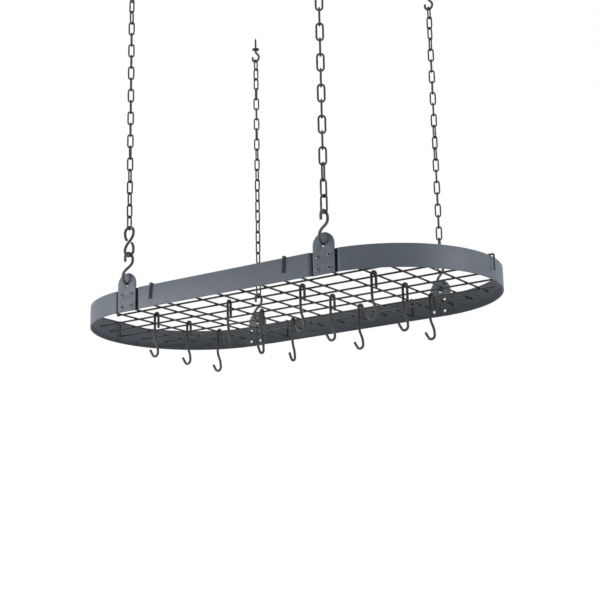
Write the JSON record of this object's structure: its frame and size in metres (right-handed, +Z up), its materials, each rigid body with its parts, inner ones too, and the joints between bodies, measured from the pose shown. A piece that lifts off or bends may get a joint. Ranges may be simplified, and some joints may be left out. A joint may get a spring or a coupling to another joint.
{
  "type": "hanging pot rack",
  "caption": "Oval flat-bar rim hung from the ceiling on chains at its bracket plates, with a loose welded wire grid in it and pot hooks hung below.",
  "frame": {"origin": "on the ceiling plane, over the middle of the rack, midway between the four ceiling hooks", "axes": "+X along the rack, +Y away from its near side across the rack, +Z up"},
  "size_m": [0.9274, 0.4769, 0.8266],
  "materials": {
    "slate_coat": "satin",
    "dark_coat": "satin",
    "rivet_metal": "satin"
  },
  "bodies": {
    "ceiling": {"ceiling_hook_near_left": "dark_coat", "ceiling_hook_near_right": "dark_coat", "ceiling_hook_far_left": "dark_coat", "ceiling_hook_far_right": "dark_coat"},
    "top_link_near_left": {"top_link_near_left": "dark_coat"},
    "chain_near_left": {"chain_near_left": "dark_coat", "closed_s_hook_near_left": "dark_coat"},
    "s_hook_near_left": {"s_hook_near_left": "dark_coat"},
    "top_link_near_right": {"top_link_near_right": "dark_coat"},
    "chain_near_right": {"chain_near_right": "dark_coat"},
    "s_hook_near_right": {"s_hook_near_right": "dark_coat"},
    "top_link_far_left": {"top_link_far_left": "dark_coat"},
    "chain_far_left": {"chain_far_left": "dark_coat"},
    "s_hook_far_left": {"s_hook_far_left": "dark_coat"},
    "top_link_far_right": {"top_link_far_right": "dark_coat"},
    "chain_far_right": {"chain_far_right": "dark_coat"},
    "s_hook_far_right": {"s_hook_far_right": "dark_coat"},
    "rack": {"rim_bar_near": "slate_coat", "rim_bar_far": "slate_coat", "rim_end_left": "slate_coat", "rim_end_right": "slate_coat", "bracket_plate_near_left": "slate_coat", "bracket_plate_near_right": "slate_coat", "bracket_plate_far_left": "slate_coat", "bracket_plate_far_right": "slate_coat", "rivet_near_left_1": "rivet_metal", "rivet_near_left_2": "rivet_metal", "rivet_near_left_3": "rivet_metal", "rivet_near_left_4": "rivet_metal", "rivet_near_right_1": "rivet_metal", "rivet_near_right_2": "rivet_metal", "rivet_near_right_3": "rivet_metal", "rivet_near_right_4": "rivet_metal", "rivet_far_left_1": "rivet_metal", "rivet_far_left_2": "rivet_metal", "rivet_far_left_3": "rivet_metal", "rivet_far_left_4": "rivet_metal", "rivet_far_right_1": "rivet_metal", "rivet_far_right_2": "rivet_metal", "rivet_far_right_3": "rivet_metal", "rivet_far_right_4": "rivet_metal"},
    "grid": {"grid": "dark_coat"},
    "pot_hook_1_1": {"pot_hook_1_1": "dark_coat"},
    "pot_hook_1_2": {"pot_hook_1_2": "dark_coat"},
    "pot_hook_1_3": {"pot_hook_1_3": "dark_coat"},
    "pot_hook_2_1": {"pot_hook_2_1": "dark_coat"},
    "pot_hook_2_2": {"pot_hook_2_2": "dark_coat"},
    "pot_hook_2_3": {"pot_hook_2_3": "dark_coat"},
    "pot_hook_3_1": {"pot_hook_3_1": "dark_coat"},
    "pot_hook_3_2": {"pot_hook_3_2": "dark_coat"},
    "pot_hook_3_3": {"pot_hook_3_3": "dark_coat"},
    "pot_hook_4_1": {"pot_hook_4_1": "dark_coat"},
    "pot_hook_4_2": {"pot_hook_4_2": "dark_coat"},
    "pot_hook_4_3": {"pot_hook_4_3": "dark_coat"}
  },
  "joints": [
    {"name": "sway_across", "type": "hinge", "parent": "ceiling", "child": "top_link_near_right", "pos_m": [0.234, -0.217, -0.0325], "axis": [1, 0, 0], "range_deg": [-8, 8]},
    {"name": "sway_along", "type": "hinge", "parent": "top_link_near_right", "child": "chain_near_right", "pos_m": [0.234, -0.217, -0.0546], "axis": [0, 1, 0], "range_deg": [-8, 8]},
    {"name": "s_hook_upright_near_right", "type": "hinge", "parent": "chain_near_right", "child": "s_hook_near_right", "pos_m": [0.234, -0.217, -0.6028], "axis": [0, 1, 0], "range_deg": [-8, 8]},
    {"name": "sway_across_near_left", "type": "hinge", "parent": "ceiling", "child": "top_link_near_left", "pos_m": [-0.234, -0.217, -0.0325], "axis": [1, 0, 0], "range_deg": [-8, 8]},
    {"name": "sway_along_near_left", "type": "hinge", "parent": "top_link_near_left", "child": "chain_near_left", "pos_m": [-0.234, -0.217, -0.0546], "axis": [0, 1, 0], "range_deg": [-8, 8]},
    {"name": "s_hook_upright_near_left", "type": "hinge", "parent": "chain_near_left", "child": "s_hook_near_left", "pos_m": [-0.234, -0.217, -0.6028], "axis": [0, 1, 0], "range_deg": [-8, 8]},
    {"name": "sway_across_far_left", "type": "hinge", "parent": "ceiling", "child": "top_link_far_left", "pos_m": [-0.234, 0.226, -0.0325], "axis": [1, 0, 0], "range_deg": [-8, 8]},
    {"name": "sway_along_far_left", "type": "hinge", "parent": "top_link_far_left", "child": "chain_far_left", "pos_m": [-0.234, 0.226, -0.0546], "axis": [0, 1, 0], "range_deg": [-8, 8]},
    {"name": "s_hook_upright_far_left", "type": "hinge", "parent": "chain_far_left", "child": "s_hook_far_left", "pos_m": [-0.234, 0.226, -0.6028], "axis": [0, 1, 0], "range_deg": [-8, 8]},
    {"name": "sway_across_far_right", "type": "hinge", "parent": "ceiling", "child": "top_link_far_right", "pos_m": [0.234, 0.226, -0.0325], "axis": [1, 0, 0], "range_deg": [-8, 8]},
    {"name": "sway_along_far_right", "type": "hinge", "parent": "top_link_far_right", "child": "chain_far_right", "pos_m": [0.234, 0.226, -0.0546], "axis": [0, 1, 0], "range_deg": [-8, 8]},
    {"name": "s_hook_upright_far_right", "type": "hinge", "parent": "chain_far_right", "child": "s_hook_far_right", "pos_m": [0.234, 0.226, -0.6028], "axis": [0, 1, 0], "range_deg": [-8, 8]},
    {"name": "rack_level", "type": "hinge", "parent": "s_hook_near_right", "child": "rack", "pos_m": [0.234, -0.2215, -0.6548], "axis": [1, 0, 0], "range_deg": [-8, 8]},
    {"name": "grid_lift", "type": "slide", "parent": "rack", "child": "grid", "axis": [0, 0, 1], "range_m": [0, 0.06]},
    {"name": "pot_hook_1_1_swing", "type": "hinge", "parent": "grid", "child": "pot_hook_1_1", "pos_m": [-0.259, -0.101, -0.7063], "axis": [0, 1, 0], "range_deg": [-40, 40]},
    {"name": "pot_hook_1_2_swing", "type": "hinge", "parent": "grid", "child": "pot_hook_1_2", "pos_m": [-0.259, 0.005, -0.7063], "axis": [0, 1, 0], "range_deg": [-40, 40]},
    {"name": "pot_hook_1_3_swing", "type": "hinge", "parent": "grid", "child": "pot_hook_1_3", "pos_m": [-0.259, 0.111, -0.7063], "axis": [0, 1, 0], "range_deg": [-40, 40]},
    {"name": "pot_hook_2_1_swing", "type": "hinge", "parent": "grid", "child": "pot_hook_2_1", "pos_m": [-0.067, -0.106, -0.7097], "axis": [1, 0, 0], "range_deg": [-40, 40]},
    {"name": "pot_hook_2_2_swing", "type": "hinge", "parent": "grid", "child": "pot_hook_2_2", "pos_m": [-0.063, 0, -0.7097], "axis": [1, 0, 0], "range_deg": [-40, 40]},
    {"name": "pot_hook_2_3_swing", "type": "hinge", "parent": "grid", "child": "pot_hook_2_3", "pos_m": [-0.058, 0.106, -0.7097], "axis": [1, 0, 0], "range_deg": [-40, 40]},
    {"name": "pot_hook_3_1_swing", "type": "hinge", "parent": "grid", "child": "pot_hook_3_1", "pos_m": [0.112, -0.111, -0.7063], "axis": [0, 1, 0], "range_deg": [-40, 40]},
    {"name": "pot_hook_3_2_swing", "type": "hinge", "parent": "grid", "child": "pot_hook_3_2", "pos_m": [0.112, -0.005, -0.7063], "axis": [0, 1, 0], "range_deg": [-40, 40]},
    {"name": "pot_hook_3_3_swing", "type": "hinge", "parent": "grid", "child": "pot_hook_3_3", "pos_m": [0.112, 0.101, -0.7063], "axis": [0, 1, 0], "range_deg": [-40, 40]},
    {"name": "pot_hook_4_1_swing", "type": "hinge", "parent": "grid", "child": "pot_hook_4_1", "pos_m": [0.271, -0.111, -0.7063], "axis": [0, 1, 0], "range_deg": [-40, 40]},
    {"name": "pot_hook_4_2_swing", "type": "hinge", "parent": "grid", "child": "pot_hook_4_2", "pos_m": [0.271, 0.005, -0.7063], "axis": [0, 1, 0], "range_deg": [-40, 40]},
    {"name": "pot_hook_4_3_swing", "type": "hinge", "parent": "grid", "child": "pot_hook_4_3", "pos_m": [0.271, 0.111, -0.7063], "axis": [0, 1, 0], "range_deg": [-40, 40]}
  ],
  "couplings": [
    {"joint": "s_hook_upright_near_right", "follows": "sway_along", "ratio": -1},
    {"joint": "sway_across_near_left", "follows": "sway_across", "ratio": 1},
    {"joint": "sway_along_near_left", "follows": "sway_along", "ratio": 1},
    {"joint": "s_hook_upright_near_left", "follows": "sway_along", "ratio": -1},
    {"joint": "sway_across_far_left", "follows": "sway_across", "ratio": 1},
    {"joint": "sway_along_far_left", "follows": "sway_along", "ratio": 1},
    {"joint": "s_hook_upright_far_left", "follows": "sway_along", "ratio": -1},
    {"joint": "sway_across_far_right", "follows": "sway_across", "ratio": 1},
    {"joint": "sway_along_far_right", "follows": "sway_along", "ratio": 1},
    {"joint": "s_hook_upright_far_right", "follows": "sway_along", "ratio": -1},
    {"joint": "rack_level", "follows": "sway_across", "ratio": -1}
  ]
}
